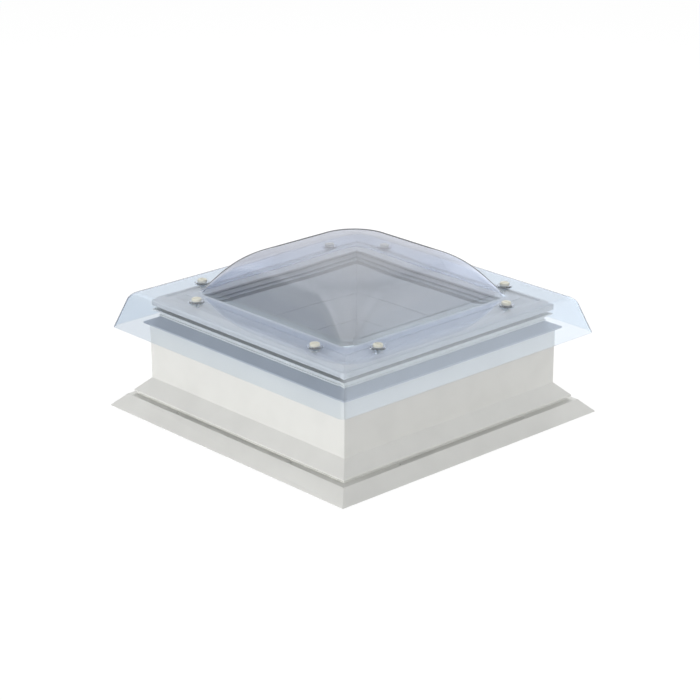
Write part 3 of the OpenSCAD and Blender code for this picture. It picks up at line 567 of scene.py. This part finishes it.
def dome_line(dome):
    """List the sheet's outer line from crown to hem: half width, level, corner, normal."""
    line = []
    radius = dome.bulge_fillet
    foot_slope = bulge_slope(dome, bulge_share(radius / dome.bulge_rise))
    foot_share = bulge_share(radius * (1 - math.cos(foot_slope)) / dome.bulge_rise)
    for k in range(1, BULGE_STEPS + 1):
        share = foot_share * math.sin(math.pi / 2 * k / BULGE_STEPS)
        rise = (1 - share ** CROWN_POWER) ** WALL_POWER
        half = dome.bulge_half * share
        slope = bulge_slope(dome, share)
        line.append((half, dome.rim_top + dome.bulge_rise * rise,
                     half * CORNER_CROWN * rise ** CORNER_POWER,
                     Vector((math.sin(slope), math.cos(slope)))))
    wall_half, wall_corner = line[-1][0], line[-1][2]
    for k in range(1, FILLET_STEPS + 1):
        turn = foot_slope * (1 - k / FILLET_STEPS)
        half = wall_half + radius * (math.sin(foot_slope) - math.sin(turn))
        line.append((half, dome.rim_top + radius * (1 - math.cos(turn)), wall_corner,
                     Vector((math.sin(turn), math.cos(turn)))))
    foot_half = line[-1][0]
    for share in RIM_SHARES:
        half = foot_half + (dome.rim_half - foot_half) * share
        corner = wall_corner + (dome.rim_corner - wall_corner) * share
        line.append((half, dome.rim_top, corner, Vector((0, 1))))
    skirt = skirt_turn(dome)
    for k in range(1, BEND_STEPS + 1):
        turn = skirt * k / BEND_STEPS
        normal = Vector((math.sin(turn), math.cos(turn)))
        half = dome.rim_half + dome.rim_bend * normal.x
        line.append((half, dome.rim_top - dome.rim_bend * (1 - normal.y),
                     skirt_corner(dome, half), normal))
    bend_half, bend_level = line[-1][:2]
    for share in SKIRT_SHARES:
        half = bend_half + (dome.hem_half - bend_half) * share
        level = bend_level + (dome.hem_level - bend_level) * share
        line.append((half, level, skirt_corner(dome, half), normal))
    return line


def skirt_turn(dome):
    """Work out how far the rim turns down, so that the skirt ends at the hem."""
    across = dome.hem_half - dome.rim_half
    down = dome.rim_top - dome.hem_level
    low, high = 0.0, math.pi / 2
    for _ in range(HALVINGS):
        turn = (low + high) / 2
        left = across - dome.rim_bend * math.sin(turn)
        drop = down - dome.rim_bend * (1 - math.cos(turn))
        if math.atan2(drop, left) > turn:
            low = turn
        else:
            high = turn
    return turn


def skirt_corner(dome, half):
    """Return the corner radius at a half width between the rim and the hem."""
    share = (half - dome.rim_half) / (dome.hem_half - dome.rim_half)
    return dome.rim_corner + (dome.hem_corner - dome.rim_corner) * share


def dome_mesh(dome):
    """Make the dome's sheet, with its rounded hem and screw holes."""
    outer = dome_line(dome)
    t = dome.sheet
    rings = [rounded_square(h, c, z) for h, z, c, n in outer[:-1]]
    inner = [(h - t * n.x, z - t * n.y, max(c - t * n.x, SMALLEST_CORNER)) for h, z, c, n in outer]
    hem_h, hem_z, hem_c, hem_n = outer[-1]
    down = Vector((hem_n.y, -hem_n.x))
    edge = Vector((hem_h, hem_z))
    middle = edge - hem_n * (t / 2) - down * (t / 2)
    for k in range(HEM_STEPS + 1):
        turn = math.pi * k / HEM_STEPS
        place = middle + hem_n * (t / 2 * math.cos(turn)) + down * (t / 2 * math.sin(turn))
        rings.append(rounded_square(place.x, hem_c - (hem_h - place.x), max(place.y, dome.hem_level)))
    rings += [rounded_square(h, c, z) for h, z, c in inner[-2::-1]]
    hole_line = [(dome.screw_hole, dome.rim_top - 3 * t), (dome.screw_hole, dome.rim_top + t)]
    holes = placed_copies("dome_holes", lathe("dome_hole", hole_line, 24), fixing_places(dome))
    mesh = cut(loft("dome_sheet", rings), holes)
    smooth_by_angle(mesh, 40)
    return mesh


# The dome's fixings

CLEARANCE = 0.03 * MM
EDGE_ROLL = 2.5 * MM
SCREW_STEPS = 16
ROWS_PER_PITCH = 5


def washer_mesh(dome):
    """Make one washer: a clear disc with a rolled edge."""
    reach = WASHER_HIGH.x - dome.fixing_out
    hole = dome.screw_hole
    low, high = WASHER_LOW.z + CLEARANCE, WASHER_HIGH.z
    chamfer = 0.5 * MM
    profile = [(hole, low), (reach - chamfer, low), (reach, low + chamfer)]
    profile += rolled_edge(reach, high, EDGE_ROLL)
    profile += [(hole + chamfer, high), (hole, high - chamfer)]
    mesh = lathe("washer", profile, 48, True)
    smooth_by_angle(mesh, 35)
    return mesh


def spacer_mesh(dome):
    """Make one spacer: a clear sleeve with chamfered ends."""
    reach = SPACER_HIGH.x - dome.fixing_out
    hole = dome.screw_hole
    low, high = SPACER_LOW.z + CLEARANCE, SPACER_HIGH.z - CLEARANCE
    chamfer = 0.6 * MM
    profile = [(hole, low), (reach - chamfer, low), (reach, low + chamfer), (reach, high - chamfer),
               (reach - chamfer, high), (hole, high)]
    mesh = lathe("spacer", profile, 40, True)
    smooth_by_angle(mesh, 30)
    return mesh


def cap_mesh(dome):
    """Make one cap: a hollow cream button with a rounded top and a slot."""
    reach = CAP_HIGH.x - dome.fixing_out
    bore = SCREW_HIGH.x - dome.fixing_out + 0.1 * MM
    low, high = CAP_LOW.z, CAP_HIGH.z
    ceiling = high - 4.5 * MM
    chamfer = 0.4 * MM
    core = 0.2 * MM
    profile = [(core, ceiling), (bore, ceiling), (bore, low)]
    profile += [(reach - chamfer, low), (reach, low + chamfer)]
    profile += rolled_edge(reach, high, EDGE_ROLL)
    profile += [(reach * 0.5, high), (core, high)]
    slot_depth = 2 * MM
    slot_size = Matrix.Diagonal((dome.cap_slot, 3 * reach, 2 * slot_depth, 1))
    slot = bpy.data.meshes.new("cap_slot")
    tool = bmesh.new()
    bmesh.ops.create_cube(tool, size=1.0)
    tool.transform(Matrix.Translation((0, 0, high)) @ slot_size)
    tool.to_mesh(slot)
    tool.free()
    mesh = cut(lathe("cap", profile, 48), slot)
    smooth_by_angle(mesh, 35)
    return mesh


def screw_mesh(dome):
    """Make one screw: a pan head and a threaded shank with a tapered tip."""
    shank, root = 2.5 * MM, 1.9 * MM
    tip_share, tip_length = 0.35, 4 * MM
    seat, top, tip = CAP_LOW.z, SCREW_HIGH.z, SCREW_LOW.z
    turns = [2 * math.pi * k / SCREW_STEPS for k in range(SCREW_STEPS)]
    rows = int((seat - tip) / dome.thread_pitch * ROWS_PER_PITCH)
    rings = []
    for row in range(rows + 1):
        z = tip + (seat - tip) * row / rows
        taper = min(1.0, tip_share + (z - tip) / tip_length)
        ring = []
        for k, a in enumerate(turns):
            share = (z / dome.thread_pitch - k / SCREW_STEPS) % 1.0
            crest = max(0.0, 1 - abs(share - 0.5) * 4)
            radius = (root + (shank - root) * crest) * taper
            ring.append((radius * math.cos(a), radius * math.sin(a), z))
        rings.append(ring)
    head = 2 * shank
    head_line = ((head, seat), (head, seat + 1 * MM), (head * 0.85, top - 0.4 * MM), (head * 0.5, top))
    for r, z in head_line:
        rings.append([(r * math.cos(a), r * math.sin(a), z) for a in turns])
    mesh = loft("screw", rings)
    smooth_by_angle(mesh, 40)
    return mesh


# Operators

class SKYLIGHT_OT_kerb(bpy.types.Operator):
    """Finish the four kerb sides in white PVC"""

    bl_idname = "skylight.kerb"
    bl_label = "Kerb"

    def execute(self, context):
        dress_lengths("kerb_", "white_pvc", context.scene)
        return {"FINISHED"}


class SKYLIGHT_OT_drip_collar(bpy.types.Operator):
    """Finish the drip collar in grey PVC"""

    bl_idname = "skylight.drip_collar"
    bl_label = "Drip Collar"

    def execute(self, context):
        dress_lengths("drip_collar_", "grey_pvc", context.scene)
        return {"FINISHED"}


class SKYLIGHT_OT_seals(bpy.types.Operator):
    """Finish the weather seals and glazing gaskets in rubber"""

    bl_idname = "skylight.seals"
    bl_label = "Seals"

    def execute(self, context):
        finishes = context.scene.skylight_finishes
        for node in ("outer_weather_seal", "inner_weather_seal"):
            dress(node, finish("epdm_rubber", finishes))
        for node in ("lower_gasket", "upper_gasket", "edge_seal"):
            dress(node, finish("grey_gasket_rubber", finishes))
        return {"FINISHED"}


class SKYLIGHT_OT_sash(bpy.types.Operator):
    """Finish the sash and its glazing beads in PVC coloured greyer and darker than the kerb"""

    bl_idname = "skylight.sash"
    bl_label = "Sash"

    def execute(self, context):
        for stem in ("sash_", "glazing_bead_"):
            dress_lengths(stem, "off_white_pvc", context.scene)
        return {"FINISHED"}


class SKYLIGHT_OT_glazing(bpy.types.Operator):
    """Finish the panes, spacer bar and blocks of the glazing"""

    bl_idname = "skylight.glazing"
    bl_label = "Glazing"

    def execute(self, context):
        finishes = context.scene.skylight_finishes
        edges = context.scene.skylight_edges
        for node in ("outer_pane", "inner_pane"):
            round_edges(dress(node, finish("float_glass_pane", finishes)), edges.glass, 1)
        dress("spacer_bar", finish("lacquered_aluminium", finishes))
        round_edges(dress("edge_blocks", finish("dark_moulded_nylon", finishes)), edges.moulding)
        return {"FINISHED"}


class SKYLIGHT_OT_dome(bpy.types.Operator):
    """Blow the clear dome"""

    bl_idname = "skylight.dome"
    bl_label = "Dome"

    def execute(self, context):
        mesh = dome_mesh(context.scene.skylight_dome)
        new_piece("dome_blown", mesh, finish("blown_cast_acrylic", context.scene.skylight_finishes),
                  "vent_sash", "clear_acrylic", "dome")
        return {"FINISHED"}


class SKYLIGHT_OT_dome_fixings(bpy.types.Operator):
    """Make the spacers, washers, screws and caps that hold the dome"""

    bl_idname = "skylight.dome_fixings"
    bl_label = "Dome Fixings"

    def execute(self, context):
        dome = context.scene.skylight_dome
        finishes = context.scene.skylight_finishes
        places = fixing_places(dome)
        clear = finish("clear_polycarbonate", finishes)
        cream = finish("cream_moulded_nylon", finishes)
        steel = finish("brushed_stainless_steel", finishes)
        new_piece("dome_washers_turned", placed_copies("washers", washer_mesh(dome), places), clear,
                  "vent_sash", "clear_acrylic", "dome_washers")
        new_piece("dome_spacers_turned", placed_copies("spacers", spacer_mesh(dome), places), clear,
                  "vent_sash", "clear_acrylic", "dome_spacers")
        new_piece("dome_caps_moulded", placed_copies("caps", cap_mesh(dome), places), cream,
                  "vent_sash", "cream_nylon", "dome_caps")
        new_piece("dome_screws_threaded", placed_copies("screws", screw_mesh(dome), places), steel,
                  "vent_sash", "stainless_steel", "dome_screws")
        return {"FINISHED"}


class SKYLIGHT_OT_hinges(bpy.types.Operator):
    """Finish the two hinges and their screws"""

    bl_idname = "skylight.hinges"
    bl_label = "Hinges"

    def execute(self, context):
        steel = finish("brushed_stainless_steel", context.scene.skylight_finishes)
        nodes = ["hinge_kerb_screws", "hinge_sash_screws"]
        for hand in ("left", "right"):
            nodes += ["hinge_%s_%s" % (hand, part) for part in ("kerb_leaf", "sash_leaf", "pin")]
        for node in nodes:
            round_edges(dress(node, steel), context.scene.skylight_edges.metal)
        return {"FINISHED"}


class SKYLIGHT_OT_opener(bpy.types.Operator):
    """Finish the telescopic opener and its brackets"""

    bl_idname = "skylight.opener"
    bl_label = "Opener"

    def execute(self, context):
        finishes = context.scene.skylight_finishes
        edges = context.scene.skylight_edges
        steel = finish("brushed_stainless_steel", finishes)
        for node in ("opener_wall_bracket", "opener_bracket_screws", "sash_bracket",
                     "sash_bracket_screws", "opener_pin", "opener_rod_eye"):
            round_edges(dress(node, steel), edges.metal)
        dress("opener_rod", finish("polished_stainless_rod", finishes))
        round_edges(dress("opener_tube", finish("satin_anodised_aluminium", finishes)), edges.metal)
        for node in ("opener_collar", "opener_guide_bush", "opener_end_cap"):
            round_edges(dress(node, finish("dark_moulded_nylon", finishes)), edges.moulding)
        return {"FINISHED"}


# The studio

FLOOR_HALF = 30.0
FLOOR_LEVEL = -0.4 * MM
PAPER_GREY = 0.85
# Strength of the paper's own glow, and the share of it in what the eye sees; the rest is lit paper
PAPER_GLOW = 1.08
GLOW_SHARE = 0.88
# In mirrors, the floor's painted glow fades between these distances from the middle
POOL_NEAR, POOL_FAR = 1.2, 3.2

# Each lamp's place, its width and height, and the setting that holds its power
LAMPS = {
    "key_lamp": ((-4.0, -0.3, 0.3), (1.2, 1.2), "key"),
    "fill_lamp": ((0.4, -4.1, 2.0), (2.8, 2.0), "fill"),
    "back_lamp": ((2.3, 2.1, 3.1), (1.4, 1.4), "back"),
    "well_lamp": ((0.0, 0.0, 0.02), (0.5, 0.5), "well"),
}
LAMP_AIM = Vector((0, 0, 0.2))

# Heights, from 0 at the horizon to 1 overhead, between which the wall turns into the ceiling: for the
# light on the skylight, and in mirrors
WALL_END, CEILING_START = 0.04, 0.3
MIRRORED_WALL_END, MIRRORED_CEILING_START = 0.3, 0.6
# In mirrors, the ceiling grows brighter between these heights
ZENITH_START, ZENITH_FULL = 0.75, 0.98
ZENITH_GAIN = 2.1
# What the rim mirrors through the bulge is lifted a little, because the bulge dims it: fully once a ray
# has passed four faces of sheet, and not at all up to two
BULGE_GAIN = 1.25
FACES_UNLIFTED, FACES_LIFTED = 2.0, 4.0

# Studio that polished sheets mirror, from the camera's left over its back to its right: near the floor
# it goes from a dark wall to a window, and overhead two strip lights hang in a pale ceiling
RIGHTWARD = (0.707, -0.707, 0)
MIRRORED_WALLS = (
    (0.0, (0.05, 0.06, 0.085)), (0.2, (0.06, 0.066, 0.08)), (0.27, (0.2, 0.205, 0.21)),
    (0.36, (0.19, 0.19, 0.192)), (0.5, (0.23, 0.23, 0.23)), (0.6, (0.26, 0.275, 0.295)),
    (0.67, (0.34, 0.36, 0.39)), (0.78, (0.28, 0.3, 0.325)), (1.0, (0.52, 0.545, 0.575)))
MIRRORED_CEILING = (
    (0.0, (0.13, 0.134, 0.14)), (0.18, (0.14, 0.144, 0.15)), (0.27, (0.34, 0.343, 0.35)),
    (0.36, (0.25, 0.252, 0.256)), (0.5, (0.28, 0.282, 0.286)), (0.62, (0.27, 0.275, 0.283)),
    (0.71, (0.38, 0.386, 0.396)), (0.8, (0.47, 0.48, 0.495)), (1.0, (0.64, 0.65, 0.67)))


class SKYLIGHT_OT_stage(bpy.types.Operator):
    """Set the floor, lamps, world and camera"""

    bl_idname = "skylight.stage"
    bl_label = "Stage"

    def execute(self, context):
        scene = context.scene
        stage = scene.skylight_stage
        scene.view_settings.view_transform = "Standard"

        half, level = FLOOR_HALF, FLOOR_LEVEL
        floor_mesh = bpy.data.meshes.new("studio_floor")
        corners = [(-half, -half, level), (half, -half, level), (half, half, level), (-half, half, level)]
        floor_mesh.from_pydata(corners, [], [(0, 1, 2, 3)])
        floor_mesh.materials.append(self.floor_paint(stage))
        floor = bpy.data.objects.new("studio_floor", floor_mesh)
        scene.collection.objects.link(floor)

        lamps = {}
        for name, (place, size, setting) in LAMPS.items():
            lamps[name] = self.lamp(name, place, size, getattr(stage, setting))
        # Daylight that the room below would send back up the well
        lamps["well_lamp"].rotation_euler = (math.pi, 0, 0)

        scene.world = self.surroundings(stage)

        lens = bpy.data.cameras.new("photo_camera")
        lens.lens = stage.lens
        lens.sensor_width = 36.0
        lens.shift_x, lens.shift_y = stage.shift
        camera = bpy.data.objects.new("photo_camera", lens)
        scene.collection.objects.link(camera)
        camera.location = stage.camera
        look = Vector(stage.target) - Vector(stage.camera)
        camera.rotation_euler = look.to_track_quat("-Z", "Y").to_euler()
        scene.camera = camera
        return {"FINISHED"}

    def surroundings(self, stage):
        """Make the world: white to the eye, a wall and ceiling as light, and a studio in mirrors."""
        world = bpy.data.worlds.new("studio_world")
        world.use_nodes = True
        tree = world.node_tree
        tree.nodes.clear()
        white = (1, 1, 1, 1)
        ray = add(tree, "ShaderNodeLightPath")
        way = add(tree, "ShaderNodeTexCoord").outputs["Generated"]
        height = add(tree, "ShaderNodeSeparateXYZ", {"Vector": way}).outputs["Z"]

        shown = add(tree, "ShaderNodeBackground", {"Color": white, "Strength": 1.0})
        sheets = add(tree, "ShaderNodeBackground", {"Color": white, "Strength": stage.through})
        fade = add(tree, "ShaderNodeMapRange",
                   {"Value": height, "From Min": WALL_END, "From Max": CEILING_START,
                    "To Min": stage.horizon, "To Max": stage.ceiling},
                   interpolation_type="SMOOTHSTEP")
        room = add(tree, "ShaderNodeBackground", {"Color": white, "Strength": fade.outputs["Result"]})

        rightward = add(tree, "ShaderNodeVectorMath", {0: way, 1: RIGHTWARD}, operation="DOT_PRODUCT")
        side = add(tree, "ShaderNodeMapRange",
                   {"Value": rightward.outputs["Value"], "From Min": -1.0, "From Max": 1.0})
        wall_paint = add(tree, "ShaderNodeValToRGB", {"Fac": side.outputs["Result"]}, MIRRORED_WALLS)
        ceiling_paint = add(tree, "ShaderNodeValToRGB", {"Fac": side.outputs["Result"]}, MIRRORED_CEILING)
        for paint in (wall_paint, ceiling_paint):
            paint.color_ramp.interpolation = "EASE"
        lift = add(tree, "ShaderNodeMapRange",
                   {"Value": ray.outputs["Transmission Depth"],
                    "From Min": FACES_UNLIFTED, "From Max": FACES_LIFTED,
                    "To Min": stage.mirror_strength, "To Max": BULGE_GAIN * stage.mirror_strength})
        zenith = add(tree, "ShaderNodeMapRange",
                     {"Value": height, "From Min": ZENITH_START, "From Max": ZENITH_FULL,
                      "To Min": 1.0, "To Max": ZENITH_GAIN})
        brighter = add(tree, "ShaderNodeMath",
                       {0: lift.outputs["Result"], 1: zenith.outputs["Result"]}, operation="MULTIPLY")
        walls = add(tree, "ShaderNodeBackground",
                    {"Color": wall_paint.outputs["Color"], "Strength": lift.outputs["Result"]})
        overhead = add(tree, "ShaderNodeBackground",
                       {"Color": ceiling_paint.outputs["Color"], "Strength": brighter.outputs[0]})
        rise = add(tree, "ShaderNodeMapRange",
                   {"Value": height, "From Min": MIRRORED_WALL_END, "From Max": MIRRORED_CEILING_START},
                   interpolation_type="SMOOTHSTEP")
        studio = add(tree, "ShaderNodeMixShader",
                     {0: rise.outputs["Result"], 1: walls.outputs["Background"],
                      2: overhead.outputs["Background"]})

        behind = add(tree, "ShaderNodeMixShader",
                     {0: ray.outputs["Is Transmission Ray"], 1: room.outputs["Background"],
                      2: sheets.outputs["Background"]})
        around = add(tree, "ShaderNodeMixShader",
                     {0: self.mirrored(tree, ray), 1: behind.outputs["Shader"],
                      2: studio.outputs["Shader"]})
        mixed = add(tree, "ShaderNodeMixShader",
                    {0: ray.outputs["Is Camera Ray"], 1: around.outputs["Shader"],
                     2: shown.outputs["Background"]})
        add(tree, "ShaderNodeOutputWorld", {"Surface": mixed.outputs["Shader"]})
        return world

    def seen(self, tree, ray):
        """Return a factor that is 1 for what the eye sees direct, in a mirror or through glass."""
        first = add(tree, "ShaderNodeMath",
                    {0: ray.outputs["Is Camera Ray"], 1: ray.outputs["Is Glossy Ray"]},
                    operation="MAXIMUM")
        both = add(tree, "ShaderNodeMath",
                   {0: first.outputs[0], 1: ray.outputs["Is Transmission Ray"]}, operation="MAXIMUM")
        return both.outputs[0]

    def mirrored(self, tree, ray):
        """Return a factor that is 1 for what the eye sees after a mirror on its way."""
        once = add(tree, "ShaderNodeMath",
                   {0: ray.outputs["Glossy Depth"], 1: 0.5}, operation="GREATER_THAN")
        sharp = add(tree, "ShaderNodeMath", {0: once.outputs[0], 1: ray.outputs["Is Diffuse Ray"]},
                    operation="SUBTRACT", use_clamp=True)
        return sharp.outputs[0]

    def floor_paint(self, stage):
        """White studio paper: flat white, with the object's shadow kept."""
        material, tree = start_material("white_studio_paper")
        paper = add(tree, "ShaderNodeBsdfDiffuse", {"Color": opaque([PAPER_GREY] * 3)})
        ray = add(tree, "ShaderNodeLightPath")
        # Mirrors show a pool of light painted into the floor's glow round the skylight, and a dim studio
        # floor further out.
        place = add(tree, "ShaderNodeNewGeometry").outputs["Position"]
        away = add(tree, "ShaderNodeVectorMath", {0: place}, operation="LENGTH")
        pool = add(tree, "ShaderNodeMapRange",
                   {"Value": away.outputs["Value"], "From Min": POOL_NEAR, "From Max": POOL_FAR,
                    "To Min": 1.0, "To Max": stage.mirror_floor}, interpolation_type="SMOOTHSTEP")
        level = add(tree, "ShaderNodeMapRange",
                    {"Value": self.mirrored(tree, ray),
                     "To Min": PAPER_GLOW, "To Max": pool.outputs["Result"]})
        dimmed = add(tree, "ShaderNodeMapRange",
                     {"Value": ray.outputs["Is Transmission Ray"],
                      "To Min": 1.0, "To Max": stage.through})
        glow_level = add(tree, "ShaderNodeMath",
                         {0: level.outputs["Result"], 1: dimmed.outputs["Result"]}, operation="MULTIPLY")
        glow = add(tree, "ShaderNodeEmission", {"Color": (1, 1, 1, 1), "Strength": glow_level.outputs[0]})
        share = add(tree, "ShaderNodeMath", {0: self.seen(tree, ray), 1: GLOW_SHARE}, operation="MULTIPLY")
        surface = add(tree, "ShaderNodeMixShader",
                      {0: share.outputs[0], 1: paper.outputs["BSDF"], 2: glow.outputs["Emission"]})
        add(tree, "ShaderNodeOutputMaterial", {"Surface": surface.outputs["Shader"]})
        return material

    def lamp(self, name, place, size, watts):
        """Hang one soft lamp that faces the skylight, which no mirror or sheet shows."""
        light = bpy.data.lights.new(name, "AREA")
        light.shape = "RECTANGLE"
        light.size, light.size_y = size
        light.energy = watts
        lamp = bpy.data.objects.new(name, light)
        bpy.context.scene.collection.objects.link(lamp)
        lamp.location = place
        lamp.rotation_euler = (LAMP_AIM - Vector(place)).to_track_quat("-Z", "Y").to_euler()
        lamp.visible_camera = False
        lamp.visible_glossy = False
        lamp.visible_transmission = False
        return lamp


STEPS = (
    SKYLIGHT_OT_kerb,
    SKYLIGHT_OT_drip_collar,
    SKYLIGHT_OT_seals,
    SKYLIGHT_OT_sash,
    SKYLIGHT_OT_glazing,
    SKYLIGHT_OT_dome,
    SKYLIGHT_OT_dome_fixings,
    SKYLIGHT_OT_hinges,
    SKYLIGHT_OT_opener,
    SKYLIGHT_OT_stage,
)

GROUPS = {
    "skylight_finishes": SkylightFinishes,
    "skylight_dome": SkylightDome,
    "skylight_edges": SkylightEdges,
    "skylight_stage": SkylightStage,
}


class SKYLIGHT_PT_panel(bpy.types.Panel):
    """List the skylight's steps and settings"""

    bl_label = "Skylight"
    bl_idname = "SKYLIGHT_PT_panel"
    bl_space_type = "VIEW_3D"
    bl_region_type = "UI"
    bl_category = "Skylight"

    def draw(self, context):
        for step in STEPS:
            self.layout.operator(step.bl_idname)
        for name in GROUPS:
            box = self.layout.box()
            group = getattr(context.scene, name)
            for key in group.bl_rna.properties.keys():
                if key not in ("rna_type", "name"):
                    box.prop(group, key)


def register():
    """Register the settings, steps and panel."""
    for name, group in GROUPS.items():
        bpy.utils.register_class(group)
        setattr(bpy.types.Scene, name, bpy.props.PointerProperty(type=group))
    for step in STEPS:
        bpy.utils.register_class(step)
    bpy.utils.register_class(SKYLIGHT_PT_panel)


def unregister():
    """Take the settings, steps and panel away."""
    bpy.utils.unregister_class(SKYLIGHT_PT_panel)
    for step in reversed(STEPS):
        bpy.utils.unregister_class(step)
    for name, group in GROUPS.items():
        delattr(bpy.types.Scene, name)
        bpy.utils.unregister_class(group)


def main():
    """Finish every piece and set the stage."""
    register()
    bpy.ops.skylight.kerb()
    bpy.ops.skylight.drip_collar()
    bpy.ops.skylight.seals()
    bpy.ops.skylight.sash()
    bpy.ops.skylight.glazing()
    bpy.ops.skylight.dome()
    bpy.ops.skylight.dome_fixings()
    bpy.ops.skylight.hinges()
    bpy.ops.skylight.opener()
    bpy.ops.skylight.stage()


if __name__ == "__main__":
    main()
